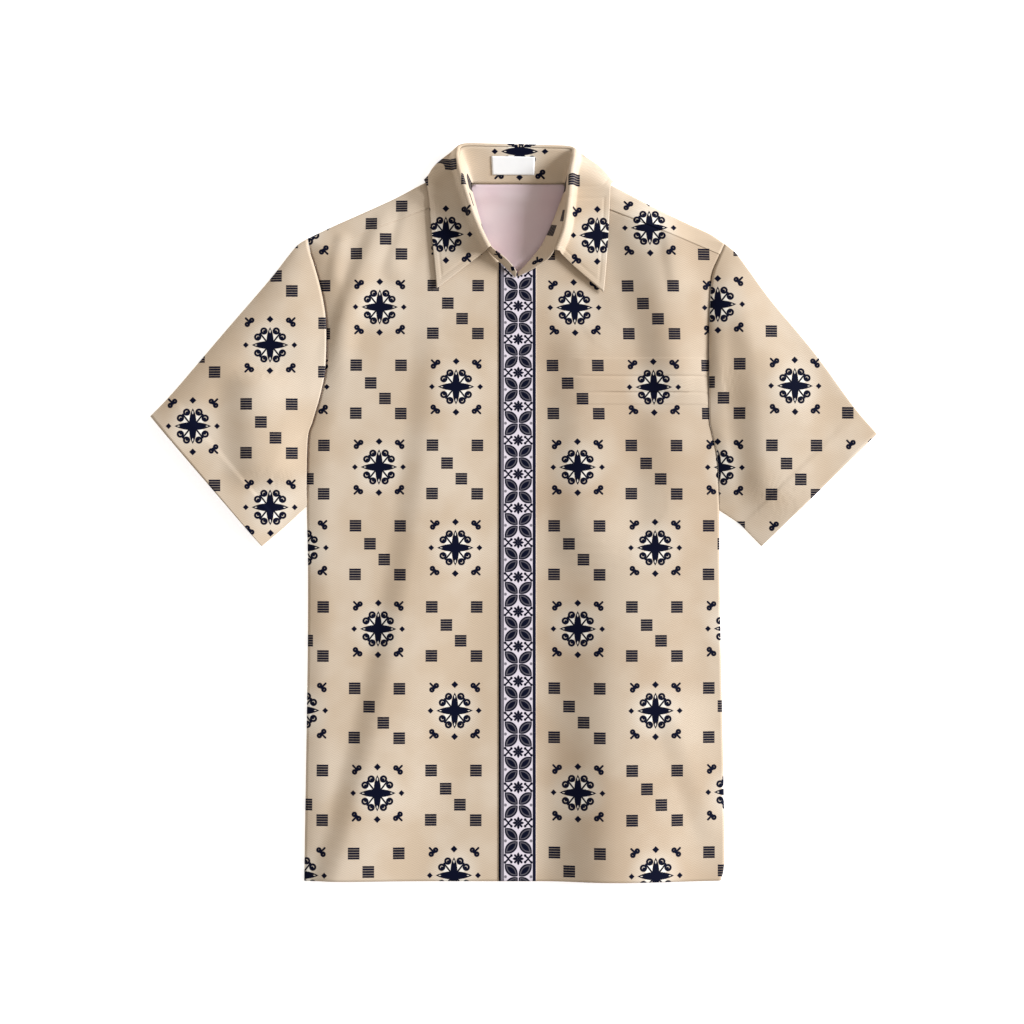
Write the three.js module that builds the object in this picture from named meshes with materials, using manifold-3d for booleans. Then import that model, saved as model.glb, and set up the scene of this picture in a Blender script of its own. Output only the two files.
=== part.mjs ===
// A short-sleeved batik shirt laid flat on its back: +X to the right of someone looking down at it,
// +Y towards the collar, +Z up, in millimetres. Left and right in the names are the wearer's.
// Each cut piece is a wall of cloth round a middle surface, a grid of points worked out from
// outlines, a height above the table and a short list of folds.
import * as THREE from 'three';
import { mergeVertices } from 'three/addons/utils/BufferGeometryUtils.js';
import Module from 'manifold-3d';

// ---------- driving dimensions ----------
const CLOTH = 1.2; // thickness of one wall of cloth
const GAP = 0.3; // clearance between pieces that are sewn together or lie on each other
const LAYER = CLOTH + GAP; // height of the underside of a second layer
const LOFT = 2.6; // how far the front stands off the back in the middle of the body
const SIDE_ROLL = 26; // width over which the front comes down to its sides and shoulders
const SLEEVE_LOFT = 2.4; // how far a sleeve's upper layer stands off its lower one
const SLEEVE_ROLL = 24; // width over which it comes down to its folds and to the armhole
const ARMHOLE_GAP = 1.3; // clearance along the curved armhole seams
const SHOULDER_SLANT = 0.91; // cosine of the shoulders' slope
const HEM_Y = -411.9;
const BACK_YOKE_SEAM_Y = 255;
const BACK_NECK_Y = 367.2;
const UNDERLAP_X = 22; // how far the wearer's right front runs on beneath the placket
const PLACKET = { left: -16.5, right: 25.5 };
const POCKET = { left: 77, right: 211, bottom: 135, top: 152.5 };
const NECK_RAISE = { height: 2.4, startY: 342, fullY: 356, middleX: 5, fullX: 106, endX: 128 };

// ---------- outlines, from the hem up or from the neck out ----------
const RIGHT_SIDE = [ // the wearer's right: side seam, then armhole
  { x: -234.2, y: -411.9 }, { x: -232.8, y: -321 }, { x: -230.3, y: -160 }, { x: -230, y: -60 },
  { x: -231.3, y: 7.6 }, { x: -230.2, y: 80 }, { x: -224.6, y: 102 }, { x: -215.6, y: 133 },
  { x: -210, y: 165.5 }, { x: -210, y: 218 }, { x: -217.8, y: 259.6 }, { x: -228.5, y: 295.4 },
  { x: -230.2, y: 306.9 },
];
const LEFT_SIDE = [ // the wearer's left, with its rounded hem corner
  { x: 231.8, y: -411.9 }, { x: 235.2, y: -399 }, { x: 236.2, y: -374 }, { x: 234.5, y: -267 },
  { x: 232.2, y: -158 }, { x: 230.8, y: -73 }, { x: 230.2, y: 3.1 }, { x: 228.4, y: 58 },
  { x: 222.3, y: 89 }, { x: 219, y: 112 }, { x: 219, y: 199 }, { x: 220.1, y: 238.3 },
  { x: 222.3, y: 266.3 }, { x: 229, y: 285 }, { x: 236, y: 301.3 },
];
const RIGHT_SHOULDER = [ // from the armhole up to the neck
  { x: -230.2, y: 306.9 }, { x: -198.8, y: 321.8 }, { x: -167.2, y: 335.9 }, { x: -132.7, y: 351.6 },
  { x: -96.5, y: 370.2 }, { x: -57, y: 387 },
];
const LEFT_SHOULDER = [ // from the neck down to the armhole
  { x: 66, y: 386 }, { x: 107.9, y: 367.1 }, { x: 158.1, y: 341.3 }, { x: 195.9, y: 323 },
  { x: 219.4, y: 312.2 }, { x: 236, y: 301.3 },
];
const RIGHT_YOKE_SEAM = [{ x: -227.2, y: 291.4 }, { x: -47.6, y: 361 }];
const LEFT_YOKE_SEAM = [{ x: 58.2, y: 360.6 }, { x: 231.4, y: 291 }];

// Rows of the fronts: height on the side, and where the row meets the front edge or the neck seam.
const RIGHT_FRONT_ROWS = [
  { sideY: HEM_Y, innerX: UNDERLAP_X, innerY: HEM_Y, steps: 8 },
  { sideY: 7.6, innerX: UNDERLAP_X, innerY: 4, steps: 4 },
  { sideY: 165.5, innerX: UNDERLAP_X, innerY: 160, steps: 2 },
  { sideY: 236, innerX: UNDERLAP_X, innerY: 250, steps: 1 },
  { sideY: 248, innerX: 1, innerY: 262.5, steps: 1 },
  { sideY: 262, innerX: -15, innerY: 279.5, steps: 1 },
  { sideY: 274, innerX: -29, innerY: 299, steps: 1 },
  { sideY: 283, innerX: -39, innerY: 332, steps: 1 },
  { sideY: 291, innerX: -47.3, innerY: 360.3, steps: 0 },
];
const LEFT_FRONT_ROWS = [
  { sideY: HEM_Y, innerX: PLACKET.right + GAP, innerY: HEM_Y, steps: 8 },
  { sideY: 3.1, innerX: PLACKET.right + GAP, innerY: 3, steps: 4 },
  { sideY: 165.5, innerX: PLACKET.right + GAP, innerY: 170, steps: 3 },
  { sideY: 258, innerX: PLACKET.right + GAP, innerY: 288, steps: 1 },
  { sideY: 268, innerX: 33, innerY: 302, steps: 1 },
  { sideY: 278, innerX: 42.5, innerY: 322, steps: 1 },
  { sideY: 290.5, innerX: 57.9, innerY: 360, steps: 0 },
];

// Sleeves, flat: the fold along the top, the armhole, the fold under the arm, and the cuff between.
const RIGHT_SLEEVE = {
  top: [
    { x: -230.6, y: 306.9 }, { x: -241.5, y: 299.7 }, { x: -253.2, y: 286 }, { x: -274.5, y: 258.9 },
    { x: -324.2, y: 201.3 }, { x: -380.6, y: 135.2 }, { x: -406.6, y: 108 },
  ],
  under: [{ x: -231.8, y: 7 }, { x: -256, y: -16 }, { x: -281.7, y: -37.7 }],
  side: RIGHT_SIDE, away: -1,
};
const LEFT_SLEEVE = {
  top: [
    { x: 236.4, y: 301.3 }, { x: 249, y: 290.7 }, { x: 263.1, y: 271.9 }, { x: 289.1, y: 236.5 },
    { x: 336.2, y: 180 }, { x: 381, y: 118.7 }, { x: 406.9, y: 88.4 },
  ],
  under: [{ x: 230.6, y: 2.6 }, { x: 252.6, y: -12.3 }, { x: 263, y: -22.7 }, { x: 277.8, y: -37.7 }],
  side: LEFT_SIDE, away: 1,
};

// The largest folds, as soft ridges along a bent line. The left flank is the steep one.
const FOLDS = [
  { x0: -84, y0: 262, x1: -106, y1: 60, x2: -190, y2: -411, left: 20, right: 34, height: 4.2 },
  { x0: -168, y0: 300, x1: -176, y1: 240, x2: -206, y2: 150, left: 16, right: 24, height: 3 },
  { x0: 88, y0: 0, x1: 100, y1: -200, x2: 96, y2: -430, left: 48, right: 60, height: 4.4 },
  { x0: 60, y0: 190, x1: 66, y1: 60, x2: 74, y2: -60, left: 16, right: 34, height: 2.6 },
  { x0: 122, y0: 340, x1: 146, y1: 250, x2: 172, y2: 110, left: 26, right: 30, height: 3 },
  { x0: 190, y0: -230, x1: 206, y1: -290, x2: 220, y2: -350, left: 30, right: 16, height: 2.4 },
  { x0: 266, y0: 262, x1: 274, y1: 130, x2: 282, y2: 0, left: 34, right: 44, height: 4 },
  { x0: -288, y0: 160, x1: -280, y1: 100, x2: -276, y2: 40, left: 26, right: 22, height: 3 },
];

// Collar stand, from its right front end round the back to its left front end: seam and top edge.
const STAND = {
  right: [
    { footX: 2.5, footY: 262.8, footZ: 7.7, topX: 3.6, topY: 269.2, topZ: 11.5 },
    { footX: -5, footY: 269.8, footZ: 7.7, topX: -1.5, topY: 276, topZ: 15.5 },
    { footX: -15, footY: 280, footZ: 7.7, topX: -10.5, topY: 285, topZ: 18.5 },
    { footX: -28, footY: 293, footZ: 6.5, topX: -25, topY: 296.5, topZ: 21 },
    { footX: -31.5, footY: 308, footZ: 6.5, topX: -31.5, topY: 309, topZ: 24.5 },
    { footX: -39, footY: 333, footZ: 6.5, topX: -42, topY: 333, topZ: 27 },
    { footX: -45, footY: 355, footZ: 8.3, topX: -50.5, topY: 358, topZ: 28 },
    { footX: -47.5, footY: 365.5, footZ: 8, topX: -57, topY: 380, topZ: 26.5 },
    { footX: -47.5, footY: 368.2, footZ: 6, topX: -59.5, topY: 391, topZ: 23.5 },
    { footX: -46, footY: 368.9, footZ: 3.6, topX: -60.2, topY: 401, topZ: 18.5 },
    { footX: -42, footY: 368.6, footZ: 2.4, topX: -55.2, topY: 408.4, topZ: 13 },
  ],
  back: [
    { footX: -25, footY: 368.3, footZ: 2.2, topX: -27, topY: 408.6, topZ: 11.5 },
    { footX: 5, footY: 368.3, footZ: 2.2, topX: 5, topY: 408, topZ: 11 },
    { footX: 35, footY: 368.3, footZ: 2.2, topX: 37, topY: 406.8, topZ: 11.5 },
  ],
  left: [
    { footX: 52, footY: 368.6, footZ: 2.4, topX: 62.5, topY: 405.4, topZ: 13 },
    { footX: 56, footY: 368.9, footZ: 3.6, topX: 64.6, topY: 399, topZ: 18.5 },
    { footX: 57.6, footY: 368.2, footZ: 6, topX: 63.5, topY: 390, topZ: 23.5 },
    { footX: 57.6, footY: 365, footZ: 8, topX: 61.5, topY: 380, topZ: 26.5 },
    { footX: 54.5, footY: 353, footZ: 8.3, topX: 59.3, topY: 354, topZ: 28 },
    { footX: 42.5, footY: 322, footZ: 6.5, topX: 54.5, topY: 319, topZ: 27 },
    { footX: 33.5, footY: 303, footZ: 6.7, topX: 47.5, topY: 298.5, topZ: 24 },
    { footX: 30, footY: 297, footZ: 7, topX: 45.6, topY: 292.6, topZ: 22.6 },
    { footX: 24, footY: 289, footZ: 8, topX: 38.5, topY: 282.5, topZ: 20 },
    { footX: 15, footY: 278.5, footZ: 8.1, topX: 25, topY: 273.5, topZ: 17.5 },
    { footX: 9, footY: 272.3, footZ: 8.1, topX: 12, topY: 266.8, topZ: 14.5 },
    { footX: 6, footY: 269.6, footZ: 8.2, topX: 4.6, topY: 263.8, topZ: 12 },
  ],
};
// Collar leaf over the stand's stations 3 to 21: the point that each section bulges towards, its edge.
const LEAF_FIRST_STATION = 3;
const LEAF = [
  { bulgeX: -58, bulgeY: 271.7, bulgeZ: 19, edgeX: -85.9, edgeY: 250.6, edgeZ: 8.4 },
  { bulgeX: -60, bulgeY: 291, bulgeZ: 22, edgeX: -87.3, edgeY: 267, edgeZ: 8.4 },
  { bulgeX: -70, bulgeY: 325, bulgeZ: 24, edgeX: -91.5, edgeY: 312, edgeZ: 8.4 },
  { bulgeX: -76, bulgeY: 355, bulgeZ: 24, edgeX: -94.5, edgeY: 349, edgeZ: 9.4 },
  { bulgeX: -83, bulgeY: 376, bulgeZ: 20, edgeX: -97, edgeY: 365, edgeZ: 9.8 },
  { bulgeX: -92, bulgeY: 386, bulgeZ: 13, edgeX: -100, edgeY: 372.5, edgeZ: 1.8 },
  { bulgeX: -96, bulgeY: 392, bulgeZ: 1.5, edgeX: -91, edgeY: 361, edgeZ: 0.6 },
  { bulgeX: -72, bulgeY: 400, bulgeZ: 0.6, edgeX: -66, edgeY: 357.5, edgeZ: 0.6 },
  { bulgeX: -30, bulgeY: 402, bulgeZ: 0.6, edgeX: -30, edgeY: 357, edgeZ: 0.6 },
  { bulgeX: 5, bulgeY: 402, bulgeZ: 0.6, edgeX: 5, edgeY: 357, edgeZ: 0.6 },
  { bulgeX: 40, bulgeY: 401, bulgeZ: 0.6, edgeX: 40, edgeY: 357, edgeZ: 0.6 },
  { bulgeX: 80, bulgeY: 398, bulgeZ: 0.6, edgeX: 75, edgeY: 357.5, edgeZ: 0.6 },
  { bulgeX: 107, bulgeY: 390, bulgeZ: 1.5, edgeX: 101, edgeY: 359, edgeZ: 0.6 },
  { bulgeX: 104, bulgeY: 386, bulgeZ: 13, edgeX: 111.5, edgeY: 370.5, edgeZ: 1.8 },
  { bulgeX: 93, bulgeY: 376, bulgeZ: 20, edgeX: 108.3, edgeY: 364, edgeZ: 9.8 },
  { bulgeX: 86, bulgeY: 353, bulgeZ: 24, edgeX: 107.6, edgeY: 348, edgeZ: 9.4 },
  { bulgeX: 83, bulgeY: 318, bulgeZ: 24, edgeX: 106, edgeY: 312, edgeZ: 8.4 },
  { bulgeX: 77, bulgeY: 286, bulgeZ: 22, edgeX: 103.3, edgeY: 272, edgeZ: 8.4 },
  { bulgeX: 75, bulgeY: 268.5, bulgeZ: 19, edgeX: 100.9, edgeY: 246, edgeZ: 8.4 },
];
// The roll where the leaf turns over the stand: how far up and how far out each step lies.
const LEAF_ROLL = [{ up: GAP, out: 0 }, { up: 2.2, out: 0.5 }, { up: 3.4, out: 2.4 }, { up: 2.6, out: 4.8 }];
const LABEL = { thickness: 1, firstStation: 11.05, lastStation: 12.6, low: 0.24, high: 0.75 };

// ---------- plain sums ----------
const mix = (a, b, t) => a + (b - a) * t;
const clamp01 = (t) => Math.min(1, Math.max(0, t));
const steps = (count) => Array.from({ length: count + 1 }, (unused, i) => i / count);
const point = (x, y, z) => new THREE.Vector3(x, y, z);

// A roll is 0 at an edge and 1 inside, leaving the edge steeply and arriving level.
const roll = (t) => clamp01(t) * (2 - clamp01(t));
const soft = (t) => clamp01(t) ** 2 * (3 - 2 * clamp01(t));

// One column of a table, read along straight lines where another column has a given value.
function read(table, want, by, value) {
  const rising = table[0][by] < table[table.length - 1][by];
  const rows = rising ? table : [...table].reverse();
  let i = 0;
  while (i < rows.length - 2 && rows[i + 1][by] < value) i += 1;
  const t = (value - rows[i][by]) / (rows[i + 1][by] - rows[i][by]);
  return mix(rows[i][want], rows[i + 1][want], clamp01(t));
}

// The point a given share of the way along an outline.
function along(outline, share) {
  const spans = outline.slice(1).map((p, i) => Math.hypot(p.x - outline[i].x, p.y - outline[i].y));
  let left = share * spans.reduce((sum, span) => sum + span, 0);
  let i = 0;
  while (i < spans.length - 1 && left > spans[i]) {
    left -= spans[i];
    i += 1;
  }
  const t = clamp01(left / spans[i]);
  return { x: mix(outline[i].x, outline[i + 1].x, t), y: mix(outline[i].y, outline[i + 1].y, t) };
}

// ---------- heights ----------
// Sum of the folds: each is a cosine hump across its line that fades out over its ends.
function foldHeight(x, y) {
  let sum = 0;
  for (const f of FOLDS) {
    let nearest = { gap: Infinity };
    for (const t of steps(24)) {
      const px = mix(mix(f.x0, f.x1, t), mix(f.x1, f.x2, t), t);
      const py = mix(mix(f.y0, f.y1, t), mix(f.y1, f.y2, t), t);
      const gap = Math.hypot(x - px, y - py);
      if (gap < nearest.gap) nearest = { gap, t, side: x < px ? f.left : f.right };
    }
    const across = Math.cos((Math.PI / 2) * clamp01(nearest.gap / nearest.side)) ** 2;
    const ends = f.y2 < HEM_Y + 5 ? 1 : soft((1 - nearest.t) / 0.2);
    const fade = soft(nearest.t / 0.2) * ends;
    sum += f.height * across * fade;
  }
  return sum;
}

// How much the back neck is lifted by the collar leaf that is folded beneath it.
function neckRaise(x, y) {
  const { height, startY, fullY, middleX, fullX, endX } = NECK_RAISE;
  const up = soft((y - startY) / (fullY - startY));
  return height * up * soft((endX - Math.abs(x - middleX)) / (endX - fullX));
}

// Distance in from the nearest side seam, armhole or shoulder fold.
function inFromEdge(x, y) {
  const shoulder = x < 0 ? RIGHT_SHOULDER : LEFT_SHOULDER;
  return Math.min(
    x - read(RIGHT_SIDE, 'x', 'y', y),
    read(LEFT_SIDE, 'x', 'y', y) - x,
    SHOULDER_SLANT * (read(shoulder, 'y', 'x', x) - y),
  );
}

const backMiddle = (x, y) => CLOTH / 2 + neckRaise(x, y);
const frontMiddle = (x, y) =>
  backMiddle(x, y) + LAYER + (LOFT + foldHeight(x, y)) * roll(inFromEdge(x, y) / SIDE_ROLL);

// ---------- walls of cloth ----------
// A closed body: the grid moved out by half the thickness to each side along its normals, and
// joined round its border. A looped grid joins its last column to its first.
function clothWall(grid, thickness, looped = false) {
  const rows = grid.length;
  const columns = grid[0].length;
  const normal = (i, j) => {
    const left = looped ? (j + columns - 1) % columns : Math.max(j - 1, 0);
    const right = looped ? (j + 1) % columns : Math.min(j + 1, columns - 1);
    const acrossStep = grid[i][right].clone().sub(grid[i][left]);
    const upStep = grid[Math.min(i + 1, rows - 1)][j].clone().sub(grid[Math.max(i - 1, 0)][j]);
    return acrossStep.cross(upStep).normalize();
  };
  const positions = [];
  for (const side of [thickness / 2, -thickness / 2]) {
    for (let i = 0; i < rows; i += 1) {
      for (let j = 0; j < columns; j += 1) {
        positions.push(...grid[i][j].clone().addScaledVector(normal(i, j), side).toArray());
      }
    }
  }
  const outer = (i, j) => i * columns + (j % columns);
  const inner = (i, j) => rows * columns + outer(i, j);
  const index = [];
  const quad = (a, b, c, d) => index.push(a, b, c, a, c, d);
  const lastColumn = looped ? columns : columns - 1;
  for (let i = 0; i < rows - 1; i += 1) {
    for (let j = 0; j < lastColumn; j += 1) {
      quad(outer(i, j), outer(i, j + 1), outer(i + 1, j + 1), outer(i + 1, j));
      quad(inner(i, j), inner(i + 1, j), inner(i + 1, j + 1), inner(i, j + 1));
    }
    if (!looped) {
      quad(outer(i, 0), outer(i + 1, 0), inner(i + 1, 0), inner(i, 0));
      quad(outer(i, lastColumn), inner(i, lastColumn), inner(i + 1, lastColumn), outer(i + 1, lastColumn));
    }
  }
  for (let j = 0; j < lastColumn; j += 1) {
    quad(outer(0, j), inner(0, j), inner(0, j + 1), outer(0, j + 1));
    quad(outer(rows - 1, j), outer(rows - 1, j + 1), inner(rows - 1, j + 1), inner(rows - 1, j));
  }
  const geometry = new THREE.BufferGeometry();
  geometry.setAttribute('position', new THREE.Float32BufferAttribute(positions, 3));
  geometry.setIndex(index);
  return geometry;
}

// ---------- body ----------
// The back: straight rows from side to side, flat on the table.
function backPanel() {
  const low = steps(10).map((t) => mix(HEM_Y, 0, t));
  const heights = [...low, ...steps(8).slice(1).map((t) => t * BACK_YOKE_SEAM_Y)];
  const grid = heights.map((y) => {
    const right = read(RIGHT_SIDE, 'x', 'y', y);
    const left = read(LEFT_SIDE, 'x', 'y', y);
    return steps(4).map((t) => point(mix(right, left, t), y, CLOTH / 2));
  });
  return clothWall(grid, CLOTH);
}

// A front: rows ruled from the side seam and armhole to the front edge and neck seam.
function frontPanel(keys, side, columns) {
  const grid = [];
  keys.forEach((key, k) => {
    for (let n = 0; n < Math.max(key.steps, k === keys.length - 1 ? 1 : 0); n += 1) {
      const next = keys[Math.min(k + 1, keys.length - 1)];
      const t = key.steps ? n / key.steps : 0;
      const sideY = mix(key.sideY, next.sideY, t);
      const sideX = read(side, 'x', 'y', sideY);
      const innerX = mix(key.innerX, next.innerX, t);
      const innerY = mix(key.innerY, next.innerY, t);
      grid.push(steps(columns).map((u) => {
        const x = mix(sideX, innerX, u);
        const y = mix(sideY, innerY, u);
        return point(x, y, frontMiddle(x, y));
      }));
    }
  });
  return clothWall(grid, CLOTH);
}

// The placket: a straight band one layer above the front edge, cut to the neck at the top.
function placket() {
  const neck = [
    { x: PLACKET.left, y: 280.5 }, { x: 5.7, y: 266.5 }, { x: PLACKET.right, y: 287.5 },
  ];
  const grid = steps(26).map((t) => steps(3).map((u) => {
    const x = mix(PLACKET.left, PLACKET.right, u);
    const y = mix(HEM_Y, read(neck, 'y', 'x', x), t);
    return point(x, y, frontMiddle(x, y) + LAYER);
  }));
  return clothWall(grid, CLOTH);
}

// The lip of the chest pocket, lying on the wearer's left front.
function pocketWelt() {
  const grid = steps(2).map((t) => steps(12).map((u) => {
    const x = mix(POCKET.left, POCKET.right, u);
    const y = mix(POCKET.bottom, POCKET.top, t);
    return point(x, y, frontMiddle(x, y) + LAYER + GAP);
  }));
  return clothWall(grid, CLOTH);
}

// ---------- yoke ----------
// The part that folds over a shoulder: from the front seam up, round the fold, and back beneath.
function yokeShoulder(seam, fold) {
  const grid = steps(12).map((t) => {
    const a = along(seam, t);
    const b = along(fold, t);
    const reach = Math.hypot(b.x - a.x, b.y - a.y);
    const bend = LAYER / 2;
    const turn = 1 - (bend + CLOTH / 2) / reach;
    const seamGap = GAP / reach;
    const at = (share, height) => {
      const x = mix(a.x, b.x, share);
      const y = mix(a.y, b.y, share);
      return point(x, y, height(x, y));
    };
    const front = steps(4).map((u) => at(mix(seamGap, turn, u), frontMiddle));
    const round = [45, 90, 135].map((degrees) => {
      const angle = THREE.MathUtils.degToRad(degrees);
      const share = turn + (bend * Math.sin(angle)) / reach;
      return at(share, (x, y) => backMiddle(x, y) + bend * (1 + Math.cos(angle)));
    });
    const back = [turn, turn / 2, 0].map((u) => at(u, backMiddle));
    return [...front, ...round, ...back];
  });
  return clothWall(grid, CLOTH);
}

// The flat part across the back, up to the back neck seam and under the shoulders' folds.
function yokeBack() {
  const overlap = 1.5;
  const columns = [
    ...steps(6).map((t) => along(RIGHT_YOKE_SEAM, t)).map((p) => ({ x: p.x, y: p.y + overlap })),
    ...steps(5).map((t) => ({ x: mix(-45.5, 56, t), y: BACK_NECK_Y })),
    ...steps(6).map((t) => along(LEFT_YOKE_SEAM, t)).map((p) => ({ x: p.x, y: p.y + overlap })),
  ];
  const farRight = read(RIGHT_SIDE, 'x', 'y', BACK_YOKE_SEAM_Y);
  const farLeft = read(LEFT_SIDE, 'x', 'y', BACK_YOKE_SEAM_Y);
  const foot = (x) => Math.max(farRight, Math.min(x, farLeft));
  const grid = columns.map((top) => steps(8).map((t) => {
    const x = mix(foot(top.x), top.x, t);
    const y = mix(BACK_YOKE_SEAM_Y + GAP, top.y, t);
    return point(x, y, backMiddle(x, y));
  }));
  return clothWall(grid, CLOTH);
}

const wasm = await Module();
wasm.setup();

function solid(geometry) {
  geometry.deleteAttribute('normal');
  geometry.deleteAttribute('uv');
  const merged = mergeVertices(geometry);
  return new wasm.Manifold(new wasm.Mesh({
    numProp: 3,
    vertProperties: new Float32Array(merged.attributes.position.array),
    triVerts: new Uint32Array(merged.index.array),
  }));
}

function joined(geometries) {
  const mesh = geometries.map(solid).reduce((sum, next) => sum.add(next)).getMesh();
  const geometry = new THREE.BufferGeometry();
  geometry.setAttribute('position', new THREE.BufferAttribute(mesh.vertProperties, 3));
  geometry.setIndex(new THREE.BufferAttribute(mesh.triVerts, 1));
  return geometry;
}

// ---------- sleeves ----------
// A flat tube. In plan it is the patch between its four edges, which is the sum of the two ruled
// surfaces less the plane through the corners. Sections run from the top fold to the one below.
function sleeve({ top, under, side, away }) {
  const armhole = steps(24).map((t) => {
    const y = mix(top[0].y, under[0].y, t);
    return { x: read(side, 'x', 'y', y) + away * ARMHOLE_GAP, y };
  });
  const tip = top[top.length - 1];
  const elbow = under[under.length - 1];
  const plan = (s, u) => {
    const [a, t, b] = [along(armhole, u), along(top, s), along(under, s)];
    const value = (k) => mix(a[k], mix(tip[k], elbow[k], u), s) + mix(t[k], b[k], u)
      - mix(mix(top[0][k], under[0][k], u), mix(tip[k], elbow[k], u), s);
    return { x: value('x'), y: value('y') };
  };
  const bend = LAYER / 2;
  const grid = steps(11).map((s) => {
    const width = Math.hypot(along(top, s).x - along(under, s).x, along(top, s).y - along(under, s).y);
    const inset = (bend + CLOTH / 2) / width;
    const shares = steps(11).map((t) => mix(inset, 1 - inset, t));
    const lower = shares.map((u) => {
      const p = plan(s, u);
      return point(p.x, p.y, CLOTH / 2);
    });
    const upper = [...shares].reverse().map((u) => {
      const p = plan(s, u);
      const fromFold = Math.min(u - inset, 1 - inset - u) * width;
      const fromArmhole = Math.hypot(p.x - plan(0, u).x, p.y - plan(0, u).y);
      const rise = roll(fromFold / SLEEVE_ROLL) * roll(fromArmhole / SLEEVE_ROLL + 0.15);
      return point(p.x, p.y, CLOTH / 2 + LAYER + (SLEEVE_LOFT + foldHeight(p.x, p.y)) * rise);
    });
    const crease = (u) => {
      const p = plan(s, u);
      return point(p.x, p.y, CLOTH / 2 + bend);
    };
    const edge = CLOTH / 2 / width;
    return [...lower, crease(1 - edge), ...upper, crease(edge)];
  });
  return clothWall(grid, CLOTH, true);
}

// ---------- collar ----------
const STATIONS = [...STAND.right, ...STAND.back, ...STAND.left];

// A point of the stand's middle surface, a share of the way up from the neck seam.
function standPoint(station, share) {
  const i = Math.min(Math.floor(station), STATIONS.length - 2);
  const at = (column) => mix(STATIONS[i][column], STATIONS[i + 1][column], station - i);
  const foot = point(at('footX'), at('footY'), at('footZ'));
  return foot.lerp(point(at('topX'), at('topY'), at('topZ')), share);
}

function collarStand() {
  return clothWall(STATIONS.map((row, i) => steps(3).map((v) => standPoint(i, v))), CLOTH);
}

// The leaf leaves the stand's top edge, rolls over outwards and runs as a cubic curve to its edge.
function collarFall() {
  const grid = LEAF.map((row, k) => {
    const i = k + LEAF_FIRST_STATION;
    const top = standPoint(i, 1);
    const up = top.clone().sub(standPoint(i, 0)).normalize();
    const run = standPoint(i + 1, 1).sub(standPoint(i - 1, 1)).normalize();
    const out = up.clone().cross(run).normalize();
    const turn = LEAF_ROLL.map((s) => top.clone().addScaledVector(up, s.up).addScaledVector(out, s.out));
    const bulge = point(row.bulgeX, row.bulgeY, row.bulgeZ);
    const edge = point(row.edgeX, row.edgeY, row.edgeZ);
    const settle = bulge.clone().lerp(edge, 0.5);
    settle.z = mix(settle.z, edge.z, 0.6);
    const curve = new THREE.CubicBezierCurve3(turn[turn.length - 1], bulge, settle, edge);
    return [...turn, ...curve.getPoints(7).slice(1)];
  });
  return clothWall(grid, CLOTH);
}

// The woven label, on the inner face of the back of the stand.
function neckLabel() {
  const { firstStation, lastStation, low, high, thickness } = LABEL;
  const lift = CLOTH / 2 + GAP + thickness / 2;
  const grid = steps(6).map((s) => steps(2).map((v) => {
    const station = mix(firstStation, lastStation, s);
    const share = mix(low, high, v);
    const at = standPoint(station, share);
    const up = standPoint(station, 1).sub(standPoint(station, 0));
    const run = standPoint(station + 0.1, share).sub(standPoint(station - 0.1, share));
    return at.addScaledVector(run.cross(up).normalize(), lift);
  }));
  return clothWall(grid, thickness);
}

// ---------- the shirt ----------
const PRINTED = { color: 0xdcc6a4, roughness: 0.62, metalness: 0 };
const BAND = { color: 0x2a2c3c, roughness: 0.6, metalness: 0 };
const LABEL_TAPE = { color: 0xf6f4ee, roughness: 0.5, metalness: 0 };

const shirt = new THREE.Group();
function sew(name, geometry, look) {
  const mesh = new THREE.Mesh(geometry, new THREE.MeshStandardMaterial(look));
  mesh.name = name;
  shirt.add(mesh);
}

sew('back', backPanel(), PRINTED);
sew('yoke', joined([
  yokeBack(),
  yokeShoulder(RIGHT_YOKE_SEAM, RIGHT_SHOULDER),
  yokeShoulder(LEFT_YOKE_SEAM, LEFT_SHOULDER),
]), PRINTED);
sew('front_right', frontPanel(RIGHT_FRONT_ROWS, RIGHT_SIDE, 17), PRINTED);
sew('front_left', frontPanel(LEFT_FRONT_ROWS, LEFT_SIDE, 15), PRINTED);
sew('placket', placket(), BAND);
sew('pocket_welt', pocketWelt(), PRINTED);
sew('sleeve_right', sleeve(RIGHT_SLEEVE), PRINTED);
sew('sleeve_left', sleeve(LEFT_SLEEVE), PRINTED);
sew('collar_stand', collarStand(), PRINTED);
sew('collar_fall', collarFall(), PRINTED);
sew('neck_label', neckLabel(), LABEL_TAPE);

export default shirt;
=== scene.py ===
"""A short-sleeved batik shirt laid flat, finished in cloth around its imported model.

Every piece of cloth is a grid of points in millimetres, worked out with numpy from outlines, the height of its layer
and a short list of folds. +X is to the right of someone looking down at the shirt, +Y towards the collar, +Z up.
Left and right in the names are the wearer's.
"""

import bpy
import numpy as np
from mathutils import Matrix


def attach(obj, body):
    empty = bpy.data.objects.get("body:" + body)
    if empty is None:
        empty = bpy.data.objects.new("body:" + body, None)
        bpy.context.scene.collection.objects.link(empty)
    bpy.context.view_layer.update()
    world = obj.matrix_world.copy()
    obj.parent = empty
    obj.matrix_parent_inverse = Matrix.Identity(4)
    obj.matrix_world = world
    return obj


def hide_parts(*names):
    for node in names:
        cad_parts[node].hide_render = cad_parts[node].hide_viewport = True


bl_info = {
    "name": "Batik shirt, laid flat",
    "version": (1, 0, 0),
    "blender": (4, 5, 0),
    "location": "3D View > Sidebar > Shirt",
    "description": "Sews a printed short-sleeved shirt on the solids of its packed model",
    "category": "Object",
}

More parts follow.
